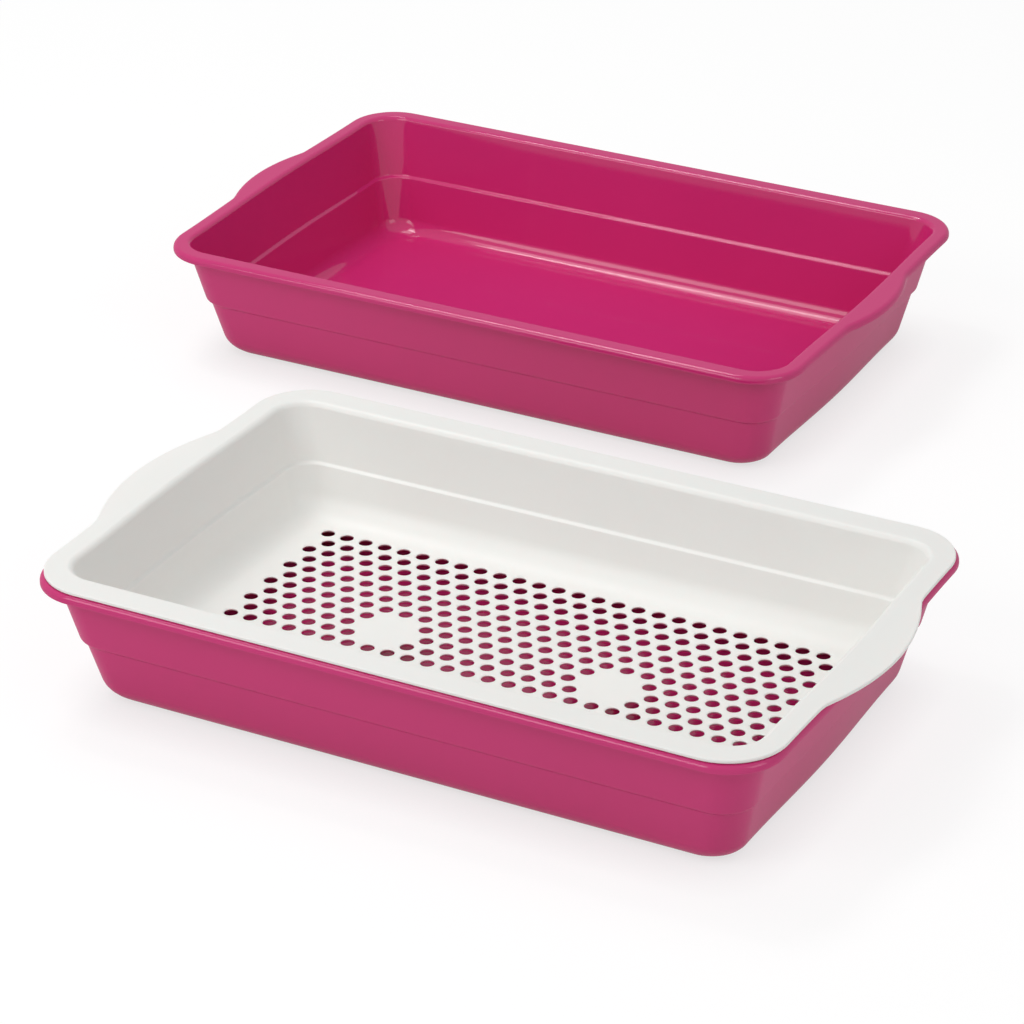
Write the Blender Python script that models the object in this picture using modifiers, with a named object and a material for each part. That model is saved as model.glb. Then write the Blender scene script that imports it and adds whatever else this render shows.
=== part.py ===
"""Sifting litter box: two identical pans and the sifter tray that nests in one of them.

The tray hangs by its flange on the lower pan's rim, and its perforated floor
lies a little above the pan's own. The spare pan stands behind them.
Units are metres and +Z is up. +X runs along the long sides and +Y to the back.
The origin is on the ground, in the middle of the whole set.
"""

from dataclasses import dataclass
from math import atan2, cos, hypot, pi, radians, sin, sqrt, tan

import bmesh
import bpy
from mathutils import Vector

# Pan, the same moulding for both copies
PAN_HEIGHT = 0.075
PAN_WALL = 0.0022
PAN_RIM_LENGTH = 0.422
PAN_RIM_WIDTH = 0.274
PAN_RIM_REACH_END = 0.0100
PAN_RIM_REACH_SIDE = 0.0115
PAN_RIM_CORNER = 0.031
PAN_MOUTH_CORNER = 0.020
PAN_FLOOR_CORNER = 0.016
PAN_FLOOR_FILLET = 0.012
PAN_EDGE_RADIUS = 0.003
PAN_ROLL_RADIUS = 0.0030
PAN_LIP_DEPTH = 0.0045
PAN_LEDGE_HEIGHT = 0.038
GRIP_REACH = 0.007
GRIP_RADIUS = 0.130
GRIP_FILLET = 0.018

# Walls, alike on the pans and the tray so that they nest
WALL_DRAFT = radians(12.9)
LEDGE_STEP = 0.0017
LEDGE_FALL = 0.0010
FLOOR_BAND = 0.0008
END_BOW = 0.002

# Sifter tray, sized from the pan that holds it
TRAY_WALL = 0.002
TRAY_SEAT_GAP = 0.0003
TRAY_GAP_END = 0.0025
TRAY_GAP_SIDE = 0.0060
FLANGE_SETBACK_END = 0.0005
FLANGE_SETBACK_SIDE = 0.0020
FLANGE_CORNER = 0.033
TRAY_MOUTH_CORNER = 0.018
TRAY_FLOOR_CORNER = 0.013
TRAY_FLOOR_RISE = 0.0125
TRAY_LEDGE_RISE = 0.007
TRAY_FILLET_EXTRA = 0.005
TRAY_EDGE_RADIUS = 0.004
TAB_REACH = 0.0120
TAB_RADIUS = 0.160
TAB_FILLET = 0.020

# Holes in the tray's floor: rows that are staggered by half a pitch
HOLE_DIAMETER = 0.0077
HOLE_ROWS = 17
HOLES_A_ROW = 26
HOLE_SIDES = 6
HOLE_MARGIN_END = 0.0132
HOLE_MARGIN_SIDE = 0.0055
BLANK_HOLES = (7, 18)

# Layout: the spare pan stands behind the lower pan and to its left
SPARE_SHIFT_X = -0.1705
SPARE_GAP = 0.126

# Smoothness of the round stretches
PAN_CORNER_STEPS = 5
TRAY_CORNER_STEPS = 4
GRIP_STEPS = 4
FILLET_STEPS = 3
EDGE_STEPS = 2
TRAY_EDGE_STEPS = 1
SMOOTH_ANGLE = radians(35.0)

# Colours, linear RGB
MAGENTA = (0.50, 0.018, 0.115, 1.0)
WHITE = (0.80, 0.80, 0.78, 1.0)
PAN_ROUGHNESS = 0.25
TRAY_ROUGHNESS = 0.40

COLLECTION_NAME = "sifting_litter_box"


@dataclass(frozen=True)
class Grip:
    """A shallow bulge in the middle of each short end, to lift the piece by."""

    reach: float
    radius: float
    fillet: float

    def points(self):
        """Return (distance beyond the end, place along it) pairs, from front to back."""
        span = self.radius + self.fillet
        foot = sqrt(span ** 2 - (span - self.reach) ** 2)
        tilt = atan2(foot, span - self.reach)
        arc = []
        for step in range(GRIP_STEPS + 1):
            angle = tilt * (2 * step / GRIP_STEPS - 1)
            arc.append((self.radius * cos(angle) + self.reach - self.radius, self.radius * sin(angle)))
        return [(0.0, -foot), *arc, (0.0, foot)]


@dataclass(frozen=True)
class Moulding:
    """Sizes of one thin-walled open tray, taken on the skin that faces up and in."""

    mouth: tuple
    rim: tuple
    top: float
    floor: float
    ledge: float
    wall: float
    rim_corner: float
    mouth_corner: float
    floor_corner: float
    floor_fillet: float
    edge_radius: float
    roll_radius: float
    lip_depth: float
    corner_steps: int
    edge_steps: int
    grip: Grip

    def inset(self, height):
        """Return how far the sloping wall, without its ledge, lies inside the mouth at a height."""
        return (self.top - height) * tan(WALL_DRAFT)

    def floor_half(self):
        """Return the half length and half width of the floor's flat stretch."""
        tangent = self.floor_fillet * tan((pi / 2 - WALL_DRAFT) / 2)
        inset = self.inset(self.floor) + LEDGE_STEP + tangent
        return self.mouth[0] - inset, self.mouth[1] - inset

    def corner_at(self, half_x):
        """Return the corner radius of the level with this half length."""
        mouth_x = self.mouth[0]
        if half_x < mouth_x:
            floor_x = self.floor_half()[0]
            growth = (self.mouth_corner - self.floor_corner) / (mouth_x - floor_x)
        else:
            growth = (self.rim_corner - self.mouth_corner) / (self.rim[0] - mouth_x)
        return self.mouth_corner + growth * (half_x - mouth_x)


@dataclass(frozen=True)
class Ring:
    """One level of a moulding: a rounded rectangle whose short ends bow out."""

    half_x: float
    half_y: float
    corner: float
    height: float
    grip: Grip = None

    def points(self, corner_steps):
        """Return the ring's corners as vectors, anticlockwise from the front right."""
        straight = self.half_y - self.corner
        right = self.corner_arc(-1, corner_steps)
        for beyond, along in self.grip.points() if self.grip else [(0.0, 0.0)]:
            bow = END_BOW * (1 - (along / straight) ** 2)
            right.append(Vector((self.half_x + bow + beyond, along, self.height)))
        right += self.corner_arc(1, corner_steps)
        return right + [Vector((-point.x, -point.y, point.z)) for point in right]

    def corner_arc(self, side, steps):
        """Return a right-hand corner's points: side -1 is the front corner, 1 the back one."""
        start = -pi / 2 if side < 0 else 0.0
        arc = []
        for step in range(steps + 1):
            angle = start + pi / 2 * step / steps
            x = self.half_x - self.corner * (1 - cos(angle))
            y = side * (self.half_y - self.corner) + self.corner * sin(angle)
            arc.append(Vector((x, y, self.height)))
        return arc


def rounded(corners, radii, steps):
    """Return a flat profile whose inner corners are arcs.

    Args:
        corners: (outward, height) points of the sharp profile.
        radii: one radius for each corner between the first and the last.
        steps: one count of straight pieces for each of those arcs.
    """
    corners = [Vector(corner) for corner in corners]
    profile = [corners[0]]
    for before, corner, after, radius, count in zip(corners, corners[1:], corners[2:], radii, steps):
        if not radius:
            profile.append(corner)
            continue
        back = (before - corner).normalized()
        ahead = (after - corner).normalized()
        half = back.angle(ahead) / 2
        centre = corner + (back + ahead).normalized() * radius / sin(half)
        first = (corner + back * radius / tan(half) - centre).normalized()
        last = (corner + ahead * radius / tan(half) - centre).normalized()
        profile += [centre + first.slerp(last, step / count) * radius for step in range(count + 1)]
    return profile + [corners[-1]]


def wall_profile(piece):
    """Return the profile from the flat floor up the wall to the flat rim, outward from the mouth."""
    floor = -piece.inset(piece.floor) - LEDGE_STEP
    low = piece.ledge - LEDGE_FALL
    corners = [
        (floor - 2 * piece.floor_fillet, piece.floor),
        (floor, piece.floor),
        (-piece.inset(low) - LEDGE_STEP, low),
        (-piece.inset(piece.ledge), piece.ledge),
        (0.0, piece.top),
        (2 * piece.edge_radius, piece.top),
    ]
    radii = (piece.floor_fillet, 0.0, 0.0, piece.edge_radius)
    steps = (FILLET_STEPS, 1, 1, piece.edge_steps)
    profile = rounded(corners, radii, steps)[1:-1]
    return [profile[0] - Vector((FLOOR_BAND, 0.0)), *profile]


def rim_profile(piece):
    """Return the profile from the flat rim over its outer edge, outward from the rim's outline."""
    if not piece.lip_depth:
        return [Vector((0.0, piece.top))]
    roll = min(max(piece.roll_radius, piece.wall), piece.lip_depth)
    corners = [
        (-2 * roll, piece.top),
        (0.0, piece.top),
        (0.0, piece.top - piece.lip_depth),
    ]
    return rounded(corners, (roll,), (FILLET_STEPS,))[1:]


def rings_of(piece):
    """Return the rings of a moulding from its floor's edge to its outer edge."""
    rings = []
    for outline, profile, grip in (
        (piece.mouth, wall_profile(piece), None),
        (piece.rim, rim_profile(piece), piece.grip),
    ):
        for outward, height in profile:
            half_x = outline[0] + outward
            rings.append(Ring(half_x, outline[1] + outward, piece.corner_at(half_x), height, grip))
    return rings


def ring_edges(mesh_data, ring):
    """Return the edges along a ring of points, made where they are missing."""
    pairs = zip(ring, ring[1:] + ring[:1])
    return [mesh_data.edges.get(pair) or mesh_data.edges.new(pair) for pair in pairs]


def fill_flat(mesh_data, outer, inners):
    """Fill the flat area inside one ring of points and outside the others."""
    edges = ring_edges(mesh_data, outer)
    for inner in inners:
        edges += ring_edges(mesh_data, inner)
    bmesh.ops.triangle_fill(mesh_data, use_beauty=True, edges=edges, normal=(0, 0, 1))


def join_rings(mesh_data, inner, outer):
    """Join two rings of points: by four-sided faces, or across a flat rim where one has more points."""
    if len(inner) != len(outer):
        fill_flat(mesh_data, outer, [inner])
        return
    for corners in zip(inner, outer, outer[1:] + outer[:1], inner[1:] + inner[:1]):
        mesh_data.faces.new(corners)


def hole_ring(mesh_data, place, height):
    """Return the points of one floor hole's edge."""
    ring = []
    for step in range(HOLE_SIDES):
        angle = 2 * pi * step / HOLE_SIDES
        x = place[0] + HOLE_DIAMETER / 2 * cos(angle)
        y = place[1] + HOLE_DIAMETER / 2 * sin(angle)
        ring.append(mesh_data.verts.new((x, y, height)))
    return ring


def skin_mesh(name, piece, holes):
    """Return a mesh of the skin that faces up and in, open along its outer edge and its holes."""
    mesh_data = bmesh.new()
    rings = []
    for ring in rings_of(piece):
        rings.append([mesh_data.verts.new(point) for point in ring.points(piece.corner_steps)])
    fill_flat(mesh_data, rings[0], [hole_ring(mesh_data, place, piece.floor) for place in holes])
    for inner, outer in zip(rings, rings[1:]):
        join_rings(mesh_data, inner, outer)
    bmesh.ops.recalc_face_normals(mesh_data, faces=mesh_data.faces)
    mesh_data.normal_update()
    lowest = min(mesh_data.faces, key=lambda face: face.calc_center_median().z)
    if lowest.normal.z < 0:
        bmesh.ops.reverse_faces(mesh_data, faces=mesh_data.faces)
    mesh = bpy.data.meshes.new(name)
    mesh_data.to_mesh(mesh)
    mesh_data.free()
    mesh.shade_smooth()
    mesh.set_sharp_from_angle(angle=SMOOTH_ANGLE)
    return mesh


def add_moulding(name, piece, material, parent, holes=()):
    """Add one moulded piece: its open skin, thickened away from the side that shows."""
    part = bpy.data.objects.new(name, skin_mesh(name, piece, holes))
    part.data.materials.append(material)
    part.parent = parent
    shell = part.modifiers.new("wall", "SOLIDIFY")
    shell.thickness = piece.wall
    shell.offset = -1.0
    shell.use_even_offset = True
    shell.use_quality_normals = True
    parent.users_collection[0].objects.link(part)


def hole_places(piece):
    """Return the middles of the floor's holes, row by row, without the two blank rosettes."""
    half_x, half_y = piece.floor_half()
    pitch = 2 * (half_x - HOLE_MARGIN_END) / (HOLES_A_ROW - 1 / 2)
    row_pitch = 2 * (half_y - HOLE_MARGIN_SIDE) / (HOLE_ROWS - 1)
    middle = HOLE_ROWS // 2
    places = []
    for row in range(HOLE_ROWS):
        stagger = -pitch / 4 if (row - middle) % 2 == 0 else pitch / 4
        for hole in range(HOLES_A_ROW):
            x = (hole - (HOLES_A_ROW - 1) / 2) * pitch + stagger
            places.append((x, (row - middle) * row_pitch))
    blanks = [places[middle * HOLES_A_ROW + hole] for hole in BLANK_HOLES]
    reach = hypot(pitch, row_pitch)
    return [place for place in places if all(hypot(place[0] - x, place[1] - y) > reach for x, y in blanks)]


def plastic(name, colour, roughness):
    """Return a moulded plastic of one colour."""
    material = bpy.data.materials.new(name)
    material.use_nodes = True
    shader = material.node_tree.nodes["Principled BSDF"]
    shader.inputs["Base Color"].default_value = colour
    shader.inputs["Roughness"].default_value = roughness
    shader.inputs["Metallic"].default_value = 0.0
    return material


def pan_moulding():
    """Return the sizes of the pans, standing on the ground."""
    return Moulding(
        mouth=(PAN_RIM_LENGTH / 2 - PAN_RIM_REACH_END, PAN_RIM_WIDTH / 2 - PAN_RIM_REACH_SIDE),
        rim=(PAN_RIM_LENGTH / 2, PAN_RIM_WIDTH / 2),
        top=PAN_HEIGHT,
        floor=PAN_WALL,
        ledge=PAN_LEDGE_HEIGHT,
        wall=PAN_WALL,
        rim_corner=PAN_RIM_CORNER,
        mouth_corner=PAN_MOUTH_CORNER,
        floor_corner=PAN_FLOOR_CORNER,
        floor_fillet=PAN_FLOOR_FILLET,
        edge_radius=PAN_EDGE_RADIUS,
        roll_radius=PAN_ROLL_RADIUS,
        lip_depth=PAN_LIP_DEPTH,
        corner_steps=PAN_CORNER_STEPS,
        edge_steps=EDGE_STEPS,
        grip=Grip(GRIP_REACH, GRIP_RADIUS, GRIP_FILLET),
    )


def tray_moulding(pan):
    """Return the sizes of the tray, with its flange's underside at height zero.

    Each wall keeps its named gap to the pan's wall that it hangs beside.
    """
    seat = pan.top + TRAY_SEAT_GAP
    closer = TRAY_WALL / cos(WALL_DRAFT) - (TRAY_SEAT_GAP + TRAY_WALL) * tan(WALL_DRAFT)
    return Moulding(
        mouth=(pan.mouth[0] - TRAY_GAP_END - closer, pan.mouth[1] - TRAY_GAP_SIDE - closer),
        rim=(pan.rim[0] - FLANGE_SETBACK_END, pan.rim[1] - FLANGE_SETBACK_SIDE),
        top=TRAY_WALL,
        floor=pan.floor + TRAY_FLOOR_RISE + TRAY_WALL - seat,
        ledge=pan.ledge + TRAY_LEDGE_RISE - seat,
        wall=TRAY_WALL,
        rim_corner=FLANGE_CORNER,
        mouth_corner=TRAY_MOUTH_CORNER,
        floor_corner=TRAY_FLOOR_CORNER,
        floor_fillet=pan.floor_fillet + TRAY_FILLET_EXTRA,
        edge_radius=TRAY_EDGE_RADIUS,
        roll_radius=0.0,
        lip_depth=0.0,
        corner_steps=TRAY_CORNER_STEPS,
        edge_steps=TRAY_EDGE_STEPS,
        grip=Grip(TAB_REACH, TAB_RADIUS, TAB_FILLET),
    )


def spare_place():
    """Return the spare pan's middle, from the lower pan's middle."""
    return Vector((SPARE_SHIFT_X, PAN_RIM_WIDTH + SPARE_GAP, 0.0))


def set_middle(pan, tray, spare):
    """Return the middle of the whole set's footprint, from the lower pan's middle."""
    pan_reach = pan.rim[0] + END_BOW + pan.grip.reach
    tray_reach = max(pan_reach, tray.rim[0] + END_BOW + tray.grip.reach)
    left = min(-tray_reach, spare.x - pan_reach)
    right = max(tray_reach, spare.x + pan_reach)
    front = -pan.rim[1]
    back = spare.y + pan.rim[1]
    return (left + right) / 2, (front + back) / 2


def clear_scene():
    """Remove whatever the scene holds."""
    for scene_object in list(bpy.data.objects):
        bpy.data.objects.remove(scene_object, do_unlink=True)


def new_collection(name):
    """Return a new collection in the scene."""
    collection = bpy.data.collections.new(name)
    bpy.context.scene.collection.children.link(collection)
    return collection


def add_empty(name, collection, location, parent=None):
    """Add an empty that carries other pieces."""
    empty = bpy.data.objects.new(name, None)
    empty.location = location
    empty.parent = parent
    collection.objects.link(empty)
    return empty


def main():
    """Build the two pans and the sifter tray."""
    clear_scene()
    box = new_collection(COLLECTION_NAME)
    pan = pan_moulding()
    tray = tray_moulding(pan)
    magenta = plastic("magenta_plastic", MAGENTA, PAN_ROUGHNESS)
    spare_magenta = plastic("spare_magenta_plastic", MAGENTA, PAN_ROUGHNESS)
    white = plastic("white_plastic", WHITE, TRAY_ROUGHNESS)

    spare = spare_place()
    middle_x, middle_y = set_middle(pan, tray, spare)
    root = add_empty("whole_set", box, (-middle_x, -middle_y, 0.0))
    slide = add_empty("sifter_slide", box, (0.0, 0.0, pan.top + TRAY_SEAT_GAP), root)
    spare_slide = add_empty("spare_slide", box, spare, root)

    add_moulding("lower_pan", pan, magenta, root)
    add_moulding("spare_pan", pan, spare_magenta, spare_slide)
    add_moulding("sifter_tray", tray, white, slide, hole_places(tray))
    bpy.context.view_layer.update()


main()
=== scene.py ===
"""Sifting litter box, dressed: two glossy pans, and the perforated tray that hangs in one.

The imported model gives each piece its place. This script gives the pieces their smooth moulded
shape, their plastics, the light and the camera. Lengths are metres, angles are radians, and +Z
is up.
"""

import logging
import math
from collections.abc import Iterable, Sequence
from dataclasses import dataclass
from enum import Enum

import bmesh
import bpy
from mathutils import Matrix, Vector

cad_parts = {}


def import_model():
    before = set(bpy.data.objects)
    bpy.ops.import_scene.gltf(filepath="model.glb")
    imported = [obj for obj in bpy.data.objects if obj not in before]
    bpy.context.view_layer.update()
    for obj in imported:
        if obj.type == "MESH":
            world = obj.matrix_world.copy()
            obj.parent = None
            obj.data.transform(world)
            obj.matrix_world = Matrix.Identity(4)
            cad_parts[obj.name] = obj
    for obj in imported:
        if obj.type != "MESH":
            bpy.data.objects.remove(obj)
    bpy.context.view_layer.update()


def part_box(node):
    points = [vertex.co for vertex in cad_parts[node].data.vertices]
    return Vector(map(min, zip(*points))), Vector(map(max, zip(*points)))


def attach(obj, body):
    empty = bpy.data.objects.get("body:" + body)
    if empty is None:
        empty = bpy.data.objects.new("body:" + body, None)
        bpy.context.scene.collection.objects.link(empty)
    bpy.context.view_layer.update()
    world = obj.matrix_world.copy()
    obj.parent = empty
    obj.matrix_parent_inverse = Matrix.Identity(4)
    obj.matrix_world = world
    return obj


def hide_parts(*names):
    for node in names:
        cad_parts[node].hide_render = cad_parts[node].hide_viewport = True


log = logging.getLogger("sifting_litter_box")

ARC_STEP = math.radians(12.0)
LEAST_ARC_STEPS = 3
MERGE_DISTANCE = 2e-6


class Piece(Enum):
    """The separate mouldings of the set, by the names that their nodes and bodies share."""

    LOWER_PAN = "lower_pan"
    SIFTER_TRAY = "sifter_tray"
    SPARE_PAN = "spare_pan"


class Slot(Enum):
    """The record's material slots."""

    MAGENTA = "magenta_plastic"
    WHITE = "white_plastic"


class Lift(Enum):
    """How much of the grip's bulge a level of a moulding carries."""

    NONE = 0.0
    FULL = 1.0


class Wiring:
    """Adds nodes to one tree, sets them and joins them."""

    def __init__(self, tree: bpy.types.NodeTree) -> None:
        """Keep the tree that the nodes go in."""
        self.tree = tree

    def add(self, kind: str, inputs: dict | None = None, **settings: object) -> bpy.types.Node:
        """Add one node.

        Args:
            kind: the node's type name.
            inputs: values or sockets for its inputs, by their names or numbers.
            settings: its own properties.

        Returns:
            The new node.
        """
        node = self.tree.nodes.new(kind)
        for name, value in settings.items():
            setattr(node, name, value)
        self.feed_all(node, inputs or {})
        return node

    def feed_all(self, node: bpy.types.Node, inputs: dict) -> None:
        """Feed several inputs of a node, given by their names or numbers."""
        for key, value in inputs.items():
            self.feed(node.inputs[key], value)

    def feed(self, socket: bpy.types.NodeSocket, value: object) -> None:
        """Join another node's socket to this one, or set its value.

        Args:
            socket: the input.
            value: the other node's socket, or a plain value.
        """
        if isinstance(value, bpy.types.NodeSocket):
            self.tree.links.new(value, socket)
        else:
            socket.default_value = value

    def math(self, operation: str, *values: object) -> bpy.types.NodeSocket:
        """Return the result of a Math node."""
        return self.add("ShaderNodeMath", dict(enumerate(values)), operation=operation).outputs[0]

    def span(
        self, value: object, source: tuple[float, float], target: tuple[float, float]
    ) -> bpy.types.NodeSocket:
        """Return a value moved from one range into another.

        Args:
            value: the value or socket to move.
            source: the range that it comes from.
            target: the range that it goes to.

        Returns:
            The socket that carries the result.
        """
        limits = {
            "From Min": source[0],
            "From Max": source[1],
            "To Min": target[0],
            "To Max": target[1],
        }
        return self.add("ShaderNodeMapRange", {"Value": value, **limits}).outputs["Result"]

    def blend(self, factor: object, first: object, second: object) -> bpy.types.NodeSocket:
        """Return a mix of two colours.

        Args:
            factor: 0 for the first colour, 1 for the second.
            first: a colour or its socket.
            second: a colour or its socket.

        Returns:
            The socket that carries the mix.
        """
        node = self.add("ShaderNodeMix", {"Factor": factor}, data_type="RGBA")
        self.feed(node.inputs["A"], first)
        self.feed(node.inputs["B"], second)
        return node.outputs["Result"]


@dataclass(frozen=True)
class Plastic:
    """A moulded plastic: a colour with faint clouds in it, a fine grain and light rub marks.

    A pair of edges is the range of the noise over which the clouds or the marks come in.
    """

    name: str
    colour: tuple[float, float, float]
    cloud_colour: tuple[float, float, float]
    roughness: tuple[float, float]
    subsurface: float
    coat: float
    coat_roughness: float
    grain_size: float
    grain_depth: float
    coat_ior: float = 1.5
    specular_level: float = 0.5
    ior: float = 1.49
    subsurface_radius: tuple[float, float, float] = (1.0, 0.55, 0.55)
    subsurface_scale: float = 0.004
    cloud_size: float = 0.11
    cloud_detail: float = 3.0
    cloud_edges: tuple[float, float] = (0.3, 0.7)
    rub_size: float = 0.004
    rub_stretch: float = 0.06
    rub_detail: float = 4.0
    rub_edges: tuple[float, float] = (0.62, 0.75)
    grain_detail: float = 2.0

    def material(self) -> bpy.types.Material:
        """Build the plastic as a node material on Object coordinates.

        Returns:
            The material.
        """
        material = bpy.data.materials.new(self.name)
        material.use_nodes = True
        wiring = Wiring(material.node_tree)
        shader = material.node_tree.nodes["Principled BSDF"]
        place = wiring.add("ShaderNodeTexCoord").outputs["Object"]
        clouds = self.noise(wiring, place, self.cloud_size, self.cloud_detail)
        tint = wiring.span(clouds, self.cloud_edges, (0.0, 1.0))
        colour = wiring.blend(tint, (*self.colour, 1.0), (*self.cloud_colour, 1.0))
        settings = {
            "Base Color": colour,
            "Roughness": self.roughness_field(wiring, place, clouds),
            "Normal": self.relief(wiring, place),
            "IOR": self.ior,
            "Specular IOR Level": self.specular_level,
            "Subsurface Weight": self.subsurface,
            "Subsurface Radius": self.subsurface_radius,
            "Subsurface Scale": self.subsurface_scale,
            "Coat Weight": self.coat,
            "Coat Roughness": self.coat_roughness,
            "Coat IOR": self.coat_ior,
        }
        wiring.feed_all(shader, settings)
        return material

    def noise(
        self, wiring: Wiring, place: object, size: float, detail: float
    ) -> bpy.types.NodeSocket:
        """Return noise whose features have the given size."""
        settings = {"Vector": place, "Scale": 1 / size, "Detail": detail}
        return wiring.add("ShaderNodeTexNoise", settings).outputs["Fac"]

    def roughness_field(
        self, wiring: Wiring, place: object, clouds: object
    ) -> bpy.types.NodeSocket:
        """Wire the roughness: its clouds, and faint rub marks along the long sides.

        Args:
            wiring: the material's tree.
            place: the coordinates' socket.
            clouds: the noise that the colour's clouds follow.

        Returns:
            The socket that carries the roughness.
        """
        scale = (self.rub_stretch, 1.0, 1.0)
        stretched = wiring.add("ShaderNodeMapping", {"Vector": place, "Scale": scale})
        rubs = self.noise(wiring, stretched.outputs["Vector"], self.rub_size, self.rub_detail)
        low, high = self.roughness
        marks = wiring.span(rubs, self.rub_edges, (0.0, (high - low) / 2))
        return wiring.math("ADD", wiring.span(clouds, self.cloud_edges, self.roughness), marks)

    def relief(self, wiring: Wiring, place: object) -> bpy.types.NodeSocket:
        """Wire the normal, which carries the mould's fine grain.

        Args:
            wiring: the material's tree.
            place: the coordinates' socket.

        Returns:
            The socket that carries the normal.
        """
        fine = self.noise(wiring, place, self.grain_size, self.grain_detail)
        grain = {"Height": fine, "Strength": 1.0, "Distance": self.grain_depth}
        return wiring.add("ShaderNodeBump", grain).outputs["Normal"]


@dataclass(frozen=True)
class Grip:
    """A shallow bulge in the middle of each short end, to lift the piece by."""

    reach: float
    radius: float
    fillet: float

    def bulge(self, along: float) -> float:
        """Return how far the outline stands out at a place along the end.

        Args:
            along: the distance from the middle of the end.

        Returns:
            The distance beyond the plain outline.
        """
        span = self.radius + self.fillet
        foot = math.sqrt(span**2 - (span - self.reach) ** 2)
        turn = self.radius * foot / span
        along = abs(along)
        if along >= foot:
            return 0.0
        if along <= turn:
            return math.sqrt(self.radius**2 - along**2) + self.reach - self.radius
        return self.fillet - math.sqrt(self.fillet**2 - (foot - along) ** 2)


@dataclass(frozen=True)
class Corner:
    """A corner of a sharp profile, and the radius that rounds it."""

    outward: float
    height: float
    radius: float = 0.0

    def point(self) -> Vector:
        """Return the corner as a flat vector."""
        return Vector((self.outward, self.height))


class Profile:
    """A line across a moulding's wall, given by its sharp corners."""

    def __init__(self, corners: Sequence[Corner]) -> None:
        """Keep the corners, the first and last of which only give directions."""
        self.corners = list(corners)

    def rounded(self) -> list[Vector]:
        """Put arcs in the corners.

        Returns:
            The points of the profile between its two end corners.
        """
        points = []
        for before, corner, after in zip(self.corners, self.corners[1:], self.corners[2:]):
            back = (before.point() - corner.point()).normalized()
            ahead = (after.point() - corner.point()).normalized()
            half = back.angle(ahead) / 2
            tangent = corner.radius / math.tan(half)
            centre = corner.point() + (back + ahead).normalized() * corner.radius / math.sin(half)
            first = (corner.point() + back * tangent - centre).normalized()
            last = (corner.point() + ahead * tangent - centre).normalized()
            steps = max(LEAST_ARC_STEPS, math.ceil((math.pi - 2 * half) / ARC_STEP))
            turns = [first.slerp(last, step / steps) for step in range(steps + 1)]
            points += [centre + turn * corner.radius for turn in turns]
        return points

    def offset(self, distance: float, least_radius: float) -> "Profile":
        """Return the profile moved to its right.

        Args:
            distance: how far it moves.
            least_radius: the smallest radius that a corner gets.

        Returns:
            The moved profile, whose arcs keep their centres where they can.
        """
        points = [corner.point() for corner in self.corners]
        sides = [(after - before).normalized() for before, after in zip(points, points[1:])]
        sides = [sides[0], *sides, sides[-1]]
        moved = []
        for corner, point, before, after in zip(self.corners, points, sides, sides[1:]):
            beside = Vector((before.y, -before.x))
            right = (beside + Vector((after.y, -after.x))).normalized()
            place = point + right * distance / right.dot(beside)
            turn = 1 if before.cross(after) > 0 else -1
            radius = max(corner.radius + turn * distance, least_radius)
            moved.append(Corner(place.x, place.y, radius))
        return Profile(moved)

    def reversed(self) -> "Profile":
        """Return the profile from its last corner to its first."""
        return Profile(self.corners[::-1])


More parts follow.
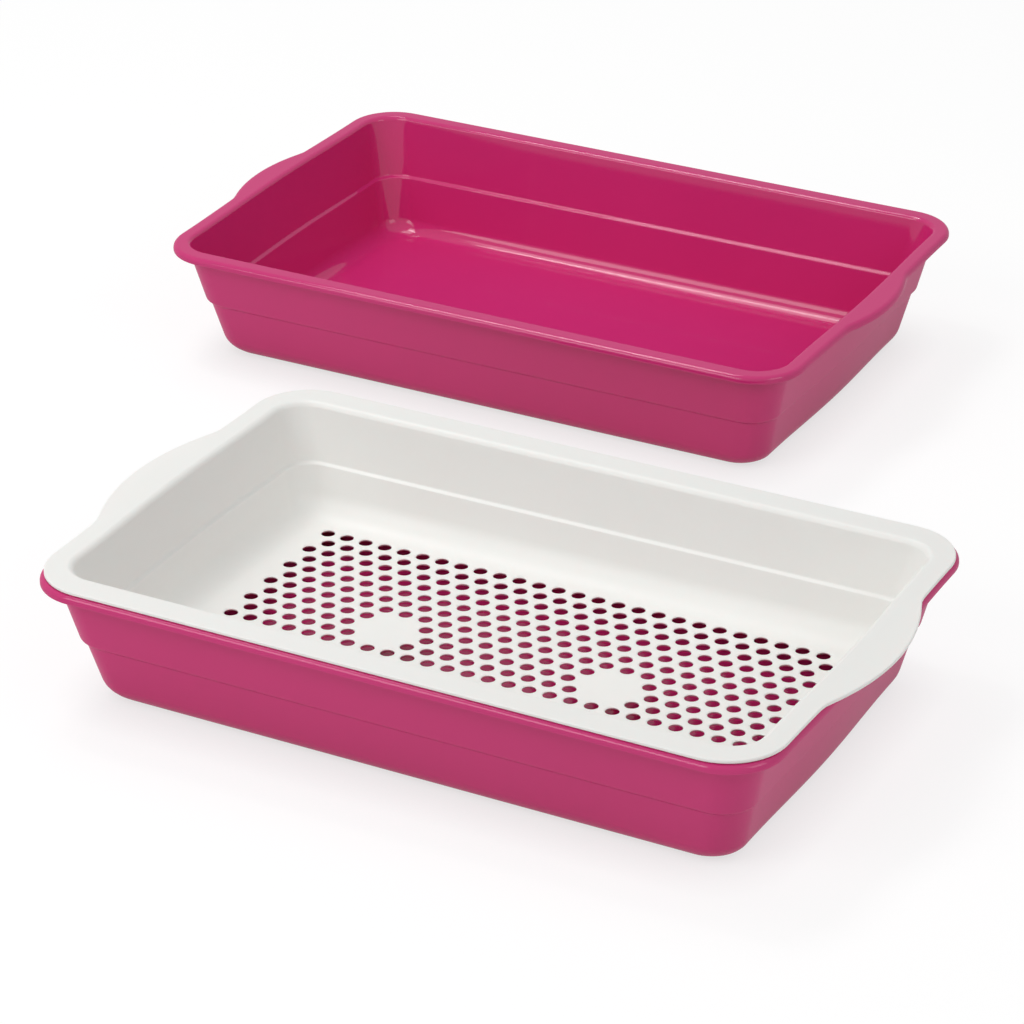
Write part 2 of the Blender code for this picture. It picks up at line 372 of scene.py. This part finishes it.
@dataclass(frozen=True)
class Moulding:
    """Sizes of one thin-walled open tray, taken on the skin that faces up and in."""

    half_mouth: tuple[float, float]
    half_rim: tuple[float, float]
    top: float
    floor: float
    ledge: float
    wall: float
    rim_corner: float
    mouth_corner: float
    floor_corner: float
    floor_fillet: float
    mouth_radius: float
    roll_radius: float
    lip_depth: float
    grip: Grip
    draft: float = math.radians(12.9)
    ledge_step: float = 0.0017
    ledge_fall: float = 0.0010
    ledge_radius: float = 0.0012
    edge_radius: float = 0.0007
    outer_radius: float = 0.0022
    end_bow: float = 0.002
    corner_steps: int = 14
    end_steps: int = 44
    side_steps: int = 12

    def inset(self, height: float) -> float:
        """Return how far the sloping wall, without its ledge, lies inside the mouth."""
        return (self.top - height) * math.tan(self.draft)

    def half_floor(self) -> tuple[float, float]:
        """Find the floor's flat stretch.

        Returns:
            Its half length and half width.
        """
        tangent = self.floor_fillet * math.tan((math.pi / 2 - self.draft) / 2)
        inset = self.inset(self.floor) + self.ledge_step + tangent
        return self.half_mouth[0] - inset, self.half_mouth[1] - inset

    def corner_at(self, half_x: float) -> float:
        """Find one level's corner radius, which grows from the floor over the mouth to the rim.

        Args:
            half_x: the level's half length.

        Returns:
            Its corner radius.
        """
        mouth_x = self.half_mouth[0]
        if half_x < mouth_x:
            growth = (self.mouth_corner - self.floor_corner) / (mouth_x - self.half_floor()[0])
        else:
            growth = (self.rim_corner - self.mouth_corner) / (self.half_rim[0] - mouth_x)
        return self.mouth_corner + growth * (half_x - mouth_x)

    def wall_profile(self) -> Profile:
        """Draw the inside wall.

        Returns:
            The profile from the floor up to the rim, outward from the mouth.
        """
        low = self.ledge - self.ledge_fall
        foot = -self.inset(self.floor) - self.ledge_step
        return Profile(
            [
                Corner(foot - 2 * self.floor_fillet, self.floor),
                Corner(foot, self.floor, self.floor_fillet),
                Corner(-self.inset(low) - self.ledge_step, low, self.ledge_radius),
                Corner(-self.inset(self.ledge), self.ledge, self.ledge_radius),
                Corner(0.0, self.top, self.mouth_radius),
                Corner(2 * self.mouth_radius, self.top),
            ]
        )

    def edge_profile(self) -> Profile:
        """Draw the rim's outer edge.

        Returns:
            The profile round the edge, outward from the rim's outline.
        """
        corners = [Corner(-2 * self.mouth_radius, self.top)]
        if self.lip_depth:
            low = self.top - self.lip_depth
            corners += [
                Corner(0.0, self.top, self.roll_radius),
                Corner(0.0, low, self.edge_radius),
                Corner(-self.wall, low, self.edge_radius),
                Corner(-self.wall, self.top - self.wall, self.roll_radius - self.wall),
            ]
        else:
            corners += [
                Corner(0.0, self.top, self.edge_radius),
                Corner(0.0, self.top - self.wall, self.edge_radius),
            ]
        return Profile([*corners, Corner(-2 * self.mouth_radius, self.top - self.wall)])

    def rings(self) -> list[list[Vector]]:
        """Lay out the whole skin.

        Returns:
            The rings of points from the floor's top over the rim to the floor's underside.
        """
        inside = self.wall_profile()
        outside = inside.offset(self.wall, self.outer_radius).reversed()
        levels = [(self.half_mouth, point, Lift.NONE) for point in inside.rounded()]
        levels += [(self.half_rim, point, Lift.FULL) for point in self.edge_profile().rounded()]
        levels += [(self.half_mouth, point, Lift.NONE) for point in outside.rounded()]
        return [self.ring(half, *point, lift) for half, point, lift in levels]

    def ring(
        self, half: tuple[float, float], outward: float, height: float, lift: Lift
    ) -> list[Vector]:
        """Return one level's points, anticlockwise from the front right corner.

        Args:
            half: the outline that the level is measured from.
            outward: how far the level stands outside that outline.
            height: its height.
            lift: how much of the grip's bulge it carries.

        Returns:
            As many points as every other level has.
        """
        half_x, half_y = half[0] + outward, half[1] + outward
        corner = self.corner_at(half_x)
        straight = half_y - corner
        points = self.quarter(half_x, straight, corner, height, -1)
        for step in range(1, self.end_steps):
            along = straight * (2 * step / self.end_steps - 1)
            bow = self.end_bow * math.cos(math.pi / 2 * along / straight) ** 2
            x = half_x + bow + lift.value * self.grip.bulge(along)
            points.append(Vector((x, along, height)))
        points += self.quarter(half_x, straight, corner, height, 1)
        for step in range(1, self.side_steps):
            x = (half_x - corner) * (1 - 2 * step / self.side_steps)
            points.append(Vector((x, half_y, height)))
        return points + [Vector((-point.x, -point.y, point.z)) for point in points]

    def quarter(
        self, half_x: float, straight: float, corner: float, height: float, side: int
    ) -> list[Vector]:
        """Draw one right-hand corner of a level.

        Args:
            half_x: the level's half length.
            straight: half the length of the end's straight stretch.
            corner: the corner's radius.
            height: the level's height.
            side: -1 for the front corner, 1 for the back one.

        Returns:
            The corner's points, anticlockwise.
        """
        start = -math.pi / 2 if side < 0 else 0.0
        points = []
        for step in range(self.corner_steps + 1):
            angle = math.pi / 2 * step / self.corner_steps + start
            x = half_x - corner * (1 - math.cos(angle))
            points.append(Vector((x, side * straight + corner * math.sin(angle), height)))
        return points


@dataclass(frozen=True)
class HoleField:
    """The round holes in the tray's floor, in staggered rows with two blank rosettes.

    Each hole has a raised bead round it. The rows stand a quarter of the pitch to the left and to
    the right in turn, the first and the middle one to the left.
    """

    pitch: float
    row_pitch: float
    holes_a_row: int
    rows: int
    radius: float
    bead_width: float
    bead_height: float
    edge_depth: float
    land_depth: float
    flare: float
    thickness: float
    blank_holes: tuple[int, int]
    sides: int = 20

    def blank_place(self, hole: int) -> tuple[float, float, float]:
        """Return the middle of a blank rosette, counted in holes along the middle row."""
        return (hole - (self.holes_a_row - 1) / 2 - 1 / 4) * self.pitch, 0.0, 0.0

    def inputs(self, material: bpy.types.Material) -> list[tuple[str, str, object]]:
        """List the tree's inputs.

        Args:
            material: the plastic that the linings are painted with.

        Returns:
            Each input's name, type and value.
        """
        return [
            ("Pitch", "NodeSocketFloat", self.pitch),
            ("Row Pitch", "NodeSocketFloat", self.row_pitch),
            ("Holes In A Row", "NodeSocketInt", self.holes_a_row),
            ("Rows", "NodeSocketInt", self.rows),
            ("Sides", "NodeSocketInt", self.sides),
            ("Hole Radius", "NodeSocketFloat", self.radius),
            ("Bead Width", "NodeSocketFloat", self.bead_width),
            ("Bead Height", "NodeSocketFloat", self.bead_height),
            ("Edge Depth", "NodeSocketFloat", self.edge_depth),
            ("Land Depth", "NodeSocketFloat", self.land_depth),
            ("Flare", "NodeSocketFloat", self.flare),
            ("Floor Thickness", "NodeSocketFloat", self.thickness),
            ("Left Rosette", "NodeSocketVector", self.blank_place(self.blank_holes[0])),
            ("Right Rosette", "NodeSocketVector", self.blank_place(self.blank_holes[1])),
            ("Rosette Reach", "NodeSocketFloat", math.hypot(self.pitch, self.row_pitch)),
            ("Plastic", "NodeSocketMaterial", material),
        ]

    def linings(self, material: bpy.types.Material) -> bpy.types.Mesh:
        """Grow the linings of all the holes on an empty carrier.

        Args:
            material: the plastic that they are painted with.

        Returns:
            The linings as one plain mesh, with the floor's top at height zero.
        """
        inputs = self.inputs(material)
        tree = bpy.data.node_groups.new("hole_linings", "GeometryNodeTree")
        tree.interface.new_socket("Geometry", in_out="OUTPUT", socket_type="NodeSocketGeometry")
        for name, kind, _ in inputs:
            tree.interface.new_socket(name, in_out="INPUT", socket_type=kind)
        wiring = Wiring(tree)
        self.wire(wiring, wiring.add("NodeGroupInput").outputs)
        carrier = bpy.data.objects.new("hole_carrier", bpy.data.meshes.new("hole_carrier"))
        bpy.context.scene.collection.objects.link(carrier)
        modifier = carrier.modifiers.new("holes", "NODES")
        modifier.node_group = tree
        identifiers = {item.name: item.identifier for item in tree.interface.items_tree}
        for name, _, value in inputs:
            modifier[identifiers[name]] = value
        mesh = plain_mesh(carrier)
        carrier.modifiers.clear()
        bpy.data.objects.remove(carrier)
        return mesh

    def wire(self, wiring: Wiring, sizes: bpy.types.NodeOutputs) -> None:
        """Wire the tree: one lining, set on each point of the staggered rows.

        Args:
            wiring: the tree's nodes.
            sizes: the tree's inputs.
        """
        lining = self.one_lining(wiring, sizes)
        scatter = {"Points": self.places(wiring, sizes), "Instance": lining}
        instances = wiring.add("GeometryNodeInstanceOnPoints", scatter)
        real = wiring.add("GeometryNodeRealizeInstances", {"Geometry": instances.outputs[0]})
        paint = {"Geometry": real.outputs[0], "Material": sizes["Plastic"]}
        painted = wiring.add("GeometryNodeSetMaterial", paint)
        wiring.add("NodeGroupOutput", {"Geometry": painted.outputs[0]})

    def places(self, wiring: Wiring, sizes: bpy.types.NodeOutputs) -> bpy.types.NodeSocket:
        """Wire the points of the rows, without the two rosettes.

        Args:
            wiring: the tree's nodes.
            sizes: the tree's inputs.

        Returns:
            The socket that carries the points.
        """
        gaps = wiring.math("SUBTRACT", sizes["Holes In A Row"], 1.0)
        length = wiring.math("MULTIPLY", sizes["Pitch"], gaps)
        row_gaps = wiring.math("SUBTRACT", sizes["Rows"], 1.0)
        width = wiring.math("MULTIPLY", sizes["Row Pitch"], row_gaps)
        counts = {"Vertices X": sizes["Holes In A Row"], "Vertices Y": sizes["Rows"]}
        grid = wiring.add("GeometryNodeMeshGrid", {"Size X": length, "Size Y": width, **counts})
        place = wiring.add("GeometryNodeInputPosition").outputs[0]
        back = wiring.add("ShaderNodeSeparateXYZ", {0: place}).outputs["Y"]
        from_front = wiring.math("ADD", back, wiring.math("DIVIDE", width, 2.0))
        row = wiring.math("ROUND", wiring.math("DIVIDE", from_front, sizes["Row Pitch"]))
        turn = wiring.math("SUBTRACT", wiring.math("MODULO", row, 2.0), 0.5)
        shift = wiring.math("MULTIPLY", turn, wiring.math("DIVIDE", sizes["Pitch"], 2.0))
        offset = wiring.add("ShaderNodeCombineXYZ", {"X": shift}).outputs[0]
        staggered = {"Geometry": grid.outputs["Mesh"], "Offset": offset}
        rows = wiring.add("GeometryNodeSetPosition", staggered)
        away = [
            wiring.add("ShaderNodeVectorMath", {0: place, 1: sizes[name]}, operation="DISTANCE")
            for name in ("Left Rosette", "Right Rosette")
        ]
        nearest = wiring.math("MINIMUM", *(distance.outputs["Value"] for distance in away))
        blank = wiring.math("LESS_THAN", nearest, sizes["Rosette Reach"])
        cleared = {"Geometry": rows.outputs[0], "Selection": blank}
        return wiring.add("GeometryNodeDeleteGeometry", cleared).outputs[0]

    def one_lining(self, wiring: Wiring, sizes: bpy.types.NodeOutputs) -> bpy.types.NodeSocket:
        """Wire one hole's lining: the bead round it, its wall and its lower edge.

        Args:
            wiring: the tree's nodes.
            sizes: the tree's inputs.

        Returns:
            The socket that carries the lining.
        """
        radius, width, depth = sizes["Hole Radius"], sizes["Bead Width"], sizes["Edge Depth"]
        under = wiring.math("MULTIPLY", sizes["Floor Thickness"], -1.0)
        levels = [
            (wiring.math("ADD", radius, width), 0.0),
            (wiring.math("ADD", radius, wiring.math("DIVIDE", width, 2.0)), sizes["Bead Height"]),
            (radius, wiring.math("MULTIPLY", depth, -1.0)),
            (radius, wiring.math("MULTIPLY", sizes["Land Depth"], -1.0)),
            (wiring.math("ADD", radius, sizes["Flare"]), under),
        ]
        join = wiring.add("GeometryNodeJoinGeometry")
        for upper, lower in zip(levels[1:], levels[2:]):
            wiring.feed(join.inputs[0], self.band(wiring, sizes["Sides"], upper, lower))
        wiring.feed(join.inputs[0], self.band(wiring, sizes["Sides"], levels[1], levels[0]))
        merged = {"Geometry": join.outputs[0], "Distance": MERGE_DISTANCE}
        return wiring.add("GeometryNodeMergeByDistance", merged).outputs[0]

    def band(
        self, wiring: Wiring, sides: object, upper: tuple, lower: tuple
    ) -> bpy.types.NodeSocket:
        """Wire an open band between two rings.

        Args:
            wiring: the tree's nodes.
            sides: how many sides the rings have.
            upper: the upper ring's radius and height.
            lower: the lower ring's radius and height.

        Returns:
            The socket that carries the band.
        """
        shape = {
            "Vertices": sides,
            "Radius Top": upper[0],
            "Radius Bottom": lower[0],
            "Depth": wiring.math("SUBTRACT", upper[1], lower[1]),
        }
        cone = wiring.add("GeometryNodeMeshCone", shape, fill_type="NONE")
        height = wiring.add("ShaderNodeCombineXYZ", {"Z": lower[1]}).outputs[0]
        moved = {"Geometry": cone.outputs["Mesh"], "Translation": height}
        return wiring.add("GeometryNodeTransform", moved).outputs[0]


def plain_mesh(carrier: bpy.types.Object) -> bpy.types.Mesh:
    """Return an object's evaluated shape as a plain mesh."""
    evaluated = carrier.evaluated_get(bpy.context.evaluated_depsgraph_get())
    return bpy.data.meshes.new_from_object(evaluated)


def grey(level: float) -> tuple[float, float, float, float]:
    """Return an opaque grey, or white at a level of 1."""
    return level, level, level, 1.0


def footprint_middle(piece: Piece) -> Vector:
    """Return the middle of a node's footprint, on the ground."""
    low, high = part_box(piece.value)
    return Vector(((low.x + high.x) / 2, (low.y + high.y) / 2, 0.0))


@dataclass(frozen=True)
class MouldedPiece:
    """One moulding of the set, made as a closed shell and dressed in its plastic.

    It stands in the middle of its carrier's footprint: the tray's carrier is the pan below it.
    """

    piece: Piece
    carrier: Piece
    slot: Slot
    moulding: Moulding

    def build(self, material: bpy.types.Material) -> bpy.types.Object:
        """Build the shell where its node is, and hand it to the frame.

        Args:
            material: the plastic that it is moulded in.

        Returns:
            Build the shell where its node is, attach it to its body and hide its node.
        """
        mesh_data = bmesh.new()
        rings = [[mesh_data.verts.new(point) for point in ring] for ring in self.moulding.rings()]
        for first, second in zip(rings, rings[1:]):
            for corners in zip(first, second, second[1:] + second[:1], first[1:] + first[:1]):
                mesh_data.faces.new(corners)
        self.close_floor(mesh_data, rings[0], rings[-1], material)
        bmesh.ops.remove_doubles(mesh_data, verts=mesh_data.verts, dist=MERGE_DISTANCE)
        bmesh.ops.recalc_face_normals(mesh_data, faces=mesh_data.faces)
        mesh_data.transform(Matrix.Translation(footprint_middle(self.carrier)))
        shell = self.finished(mesh_data, material)
        mesh_data.free()
        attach(shell, self.piece.value)
        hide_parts(self.piece.value)
        return shell

    def close_floor(
        self, mesh_data: bmesh.types.BMesh, top: list, under: list, material: bpy.types.Material
    ) -> None:
        """Close the floor's top and underside, each with one flat face.

        Args:
            mesh_data: the shell.
            top: the ring of points round the floor's top.
            under: the ring round its underside.
            material: the shell's plastic; not used here.
        """
        mesh_data.faces.new(top)
        mesh_data.faces.new(under[::-1])

    def finished(
        self, mesh_data: bmesh.types.BMesh, material: bpy.types.Material
    ) -> bpy.types.Object:
        """Make the shell an object, smooth where it is round and flat where it is flat.

        Args:
            mesh_data: the shell.
            material: its plastic.

        Returns:
            The object, which has no modifiers.
        """
        mesh = bpy.data.meshes.new(self.piece.value + "_shell")
        mesh_data.to_mesh(mesh)
        mesh.materials.append(material)
        mesh.shade_smooth()
        draft = bpy.data.objects.new("draft", mesh)
        bpy.context.scene.collection.objects.link(draft)
        draft.modifiers.new("flat_faces", "WEIGHTED_NORMAL").mode = "FACE_AREA"
        shell = bpy.data.objects.new(self.piece.value + "_shell", plain_mesh(draft))
        bpy.context.scene.collection.objects.link(shell)
        draft.modifiers.clear()
        bpy.data.objects.remove(draft)
        return shell


@dataclass(frozen=True)
class SifterTray(MouldedPiece):
    """The white tray, whose floor is pierced by a field of round holes."""

    holes: HoleField

    def close_floor(
        self, mesh_data: bmesh.types.BMesh, top: list, under: list, material: bpy.types.Material
    ) -> None:
        """Close the floor round its holes, whose linings come from Geometry Nodes.

        Args:
            mesh_data: the shell.
            top: the ring of points round the floor's top.
            under: the ring round its underside.
            material: the shell's plastic.
        """
        linings = self.holes.linings(material)
        linings.transform(Matrix.Translation((0.0, 0.0, self.moulding.floor)))
        mesh_data.from_mesh(linings)
        bpy.data.meshes.remove(linings)
        open_edges = [edge for edge in mesh_data.edges if edge.is_boundary]
        middle = self.moulding.floor - self.moulding.wall / 2
        for side in (1, -1):
            edges = [edge for edge in open_edges if (edge.verts[0].co.z - middle) * side > 0]
            bmesh.ops.triangle_fill(mesh_data, use_beauty=True, edges=edges, normal=(0, 0, side))


@dataclass(frozen=True)
class Viewpoint:
    """The camera: a long lens at the photograph's angle.

    Nothing beyond far times the target's distance is drawn.
    """

    target: tuple[float, float, float]
    distance: float
    yaw: float
    pitch: float
    roll: float
    focal_length: float
    far: float = 4.0

    def axes(self) -> tuple[Vector, Vector, Vector]:
        """Turn the camera's angles into directions.

        Returns:
            Its right, up and forward directions.
        """
        sine, cosine, level = math.sin(self.yaw), math.cos(self.yaw), math.cos(self.pitch)
        forward = Vector((-sine * level, cosine * level, -math.sin(self.pitch)))
        right = Vector((cosine, sine, 0.0))
        up = right.cross(forward)
        turned = right * math.cos(self.roll) + up * math.sin(self.roll)
        return turned, turned.cross(forward), forward

    def place(self) -> None:
        """Make the scene's camera."""
        lens = bpy.data.cameras.new("camera")
        lens.lens = self.focal_length
        lens.clip_end = self.far * self.distance
        camera = bpy.data.objects.new("camera", lens)
        right, up, forward = self.axes()
        eye = Vector(self.target) - forward * self.distance
        turn = Matrix((right, up, -forward)).transposed().to_4x4()
        camera.matrix_world = Matrix.Translation(eye) @ turn
        bpy.context.scene.collection.objects.link(camera)
        bpy.context.scene.camera = camera


@dataclass(frozen=True)
class Softbox:
    """A large soft lamp that looks at the origin."""

    name: str
    place: tuple[float, float, float]
    size: tuple[float, float]
    power: float

    def hang(self) -> None:
        """Put the lamp in the scene."""
        lamp = bpy.data.lights.new(self.name, "AREA")
        lamp.shape = "RECTANGLE"
        lamp.size, lamp.size_y = self.size
        lamp.energy = self.power
        holder = bpy.data.objects.new(self.name, lamp)
        holder.location = self.place
        holder.rotation_euler = (-Vector(self.place)).to_track_quat("-Z", "Y").to_euler()
        bpy.context.scene.collection.objects.link(holder)


@dataclass(frozen=True)
class Studio:
    """A white sweep under soft light.

    The sky, floor_bounce and the lamps light the object. The other floor values are what is seen
    of the floor, and contact_reach and contact_shade paint a contact shadow into it near the
    object.
    It lies floor_drop below the ground, so that it doesn't meet the pans' bases.
    """

    sky: float
    floor_bounce: float
    floor_shade: float
    floor_lift: float
    floor_drop: float
    floor_roughness: float
    contact_reach: float
    contact_shade: float
    contact_samples: int
    reach: float
    lamps: tuple[Softbox, ...]

    def build(self) -> None:
        """Make the floor, the world and the lamps."""
        self.light_sky()
        self.lay_floor()
        for lamp in self.lamps:
            lamp.hang()
        bpy.context.scene.view_settings.view_transform = "Standard"

    def seen(self, wiring: Wiring) -> bpy.types.NodeSocket:
        """Tell the rays that show the surroundings from those that light the object.

        Args:
            wiring: the nodes of the world or of the floor's material.

        Returns:
            The socket: 1 for camera, transmission and glossy rays, else 0.
        """
        rays = wiring.add("ShaderNodeLightPath").outputs
        looks = wiring.math("ADD", rays["Is Camera Ray"], rays["Is Transmission Ray"])
        return wiring.math("MINIMUM", wiring.math("ADD", looks, rays["Is Glossy Ray"]), 1.0)

    def light_sky(self) -> None:
        """Make the world white to look at, and dimmer as light."""
        world = bpy.data.worlds.new("white_sweep")
        world.use_nodes = True
        wiring = Wiring(world.node_tree)
        back = world.node_tree.nodes["Background"]
        strength = wiring.span(self.seen(wiring), (0.0, 1.0), (self.sky, 1.0))
        wiring.feed_all(back, {"Color": grey(1.0), "Strength": strength})
        bpy.context.scene.world = world

    def lay_floor(self) -> None:
        """Lay the floor, which only sets the scene and is no part of the object."""
        mesh = bpy.data.meshes.new("studio_floor")
        corners = [
            (x * self.reach, y * self.reach, -self.floor_drop)
            for x, y in ((-1, -1), (1, -1), (1, 1), (-1, 1))
        ]
        mesh.from_pydata(corners, [], [(0, 1, 2, 3)])
        mesh.materials.append(self.floor_material())
        floor = bpy.data.objects.new("studio_floor", mesh)
        bpy.context.scene.collection.objects.link(floor)

    def floor_material(self) -> bpy.types.Material:
        """Build the floor's material, which shows white, keeps the object's shadow and has a
        painted contact shadow near the object.

        Returns:
            The material.
        """
        material = bpy.data.materials.new("white_floor")
        material.use_nodes = True
        wiring = Wiring(material.node_tree)
        shader = material.node_tree.nodes["Principled BSDF"]
        seen = self.seen(wiring)
        pale = wiring.blend(seen, grey(self.floor_bounce), grey(self.floor_shade))
        # Painted contact shadow: an Ambient Occlusion node darkens the floor's white lift by up
        # to contact_shade within contact_reach of the object.
        contact = wiring.add(
            "ShaderNodeAmbientOcclusion",
            {"Distance": self.contact_reach},
            samples=self.contact_samples,
        )
        least_lift = self.floor_lift * (1 - self.contact_shade)
        lift_with_painted_shadow = wiring.span(contact.outputs["AO"], (0.0, 1.0), (least_lift, self.floor_lift))
        settings = {
            "Base Color": pale,
            "Roughness": self.floor_roughness,
            "Specular IOR Level": 0.0,
            "Emission Color": grey(1.0),
            "Emission Strength": wiring.math("MULTIPLY", seen, lift_with_painted_shadow),
        }
        wiring.feed_all(shader, settings)
        return material


MAGENTA_PLASTIC = Plastic(
    name="glossy_magenta",
    colour=(0.610, 0.026, 0.176),
    cloud_colour=(0.630, 0.028, 0.184),
    roughness=(0.36, 0.42),
    subsurface=0.0,
    coat=0.36,
    coat_roughness=0.05,
    grain_size=0.0007,
    grain_depth=0.000004,
    coat_ior=1.8,
    specular_level=0.0,
)
WHITE_PLASTIC = Plastic(
    name="satin_white",
    colour=(0.90, 0.885, 0.855),
    cloud_colour=(0.91, 0.898, 0.870),
    roughness=(0.38, 0.48),
    subsurface=0.15,
    coat=0.0,
    coat_roughness=0.2,
    grain_size=0.0006,
    grain_depth=0.000008,
)

PAN = Moulding(
    half_mouth=(0.201, 0.1255),
    half_rim=(0.211, 0.137),
    top=0.075,
    floor=0.0022,
    ledge=0.038,
    wall=0.0022,
    rim_corner=0.031,
    mouth_corner=0.020,
    floor_corner=0.016,
    floor_fillet=0.012,
    mouth_radius=0.003,
    roll_radius=0.003,
    lip_depth=0.0045,
    grip=Grip(reach=0.007, radius=0.130, fillet=0.018),
)
TRAY = Moulding(
    half_mouth=(0.197, 0.118),
    half_rim=(0.2105, 0.135),
    top=0.0773,
    floor=0.0167,
    ledge=0.045,
    wall=0.002,
    rim_corner=0.033,
    mouth_corner=0.018,
    floor_corner=0.013,
    floor_fillet=0.017,
    mouth_radius=0.004,
    roll_radius=0.0,
    lip_depth=0.0,
    grip=Grip(reach=0.012, radius=0.160, fillet=0.020),
)
HOLES = HoleField(
    pitch=0.01212,
    row_pitch=0.0104,
    holes_a_row=26,
    rows=17,
    radius=0.00385,
    bead_width=0.0009,
    bead_height=0.00018,
    edge_depth=0.0003,
    land_depth=0.0006,
    flare=0.0013,
    thickness=0.002,
    blank_holes=(7, 18),
)

PIECES = (
    MouldedPiece(Piece.LOWER_PAN, Piece.LOWER_PAN, Slot.MAGENTA, PAN),
    SifterTray(Piece.SIFTER_TRAY, Piece.LOWER_PAN, Slot.WHITE, TRAY, HOLES),
    MouldedPiece(Piece.SPARE_PAN, Piece.SPARE_PAN, Slot.MAGENTA, PAN),
)
VIEWPOINT = Viewpoint(
    target=(0.0264, -0.0815, 0.0373),
    distance=2.21888,
    yaw=0.489265,
    pitch=0.474156,
    roll=-0.00355,
    focal_length=140.625,
)
STUDIO = Studio(
    sky=0.38,
    floor_bounce=0.85,
    floor_shade=0.20,
    floor_lift=0.83,
    floor_drop=0.0001,
    floor_roughness=0.9,
    contact_reach=0.030,
    contact_shade=0.20,
    contact_samples=8,
    reach=6.0,
    lamps=(
        Softbox("top_softbox", (-0.75, 0.20, 1.8), (1.4, 0.46), 8.6),
        Softbox("strip_light", (-0.78, 0.16, 1.7), (0.16, 0.46), 3.4),
        Softbox("front_left_softbox", (-0.8, -1.9, 1.5), (1.4, 1.0), 17.5),
        Softbox("right_softbox", (1.8, -0.4, 1.3), (1.0, 1.0), 6.8),
    ),
)


def main() -> None:
    """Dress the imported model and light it."""
    logging.basicConfig(level=logging.INFO, format="%(name)s: %(message)s")
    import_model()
    plastics = {Slot.MAGENTA: MAGENTA_PLASTIC.material(), Slot.WHITE: WHITE_PLASTIC.material()}
    for moulded in PIECES:
        shell = moulded.build(plastics[moulded.slot])
        shell.data.calc_loop_triangles()
        log.info("%s: %d triangles", shell.name, len(shell.data.loop_triangles))
    STUDIO.build()
    VIEWPOINT.place()


if __name__ == "__main__":
    main()
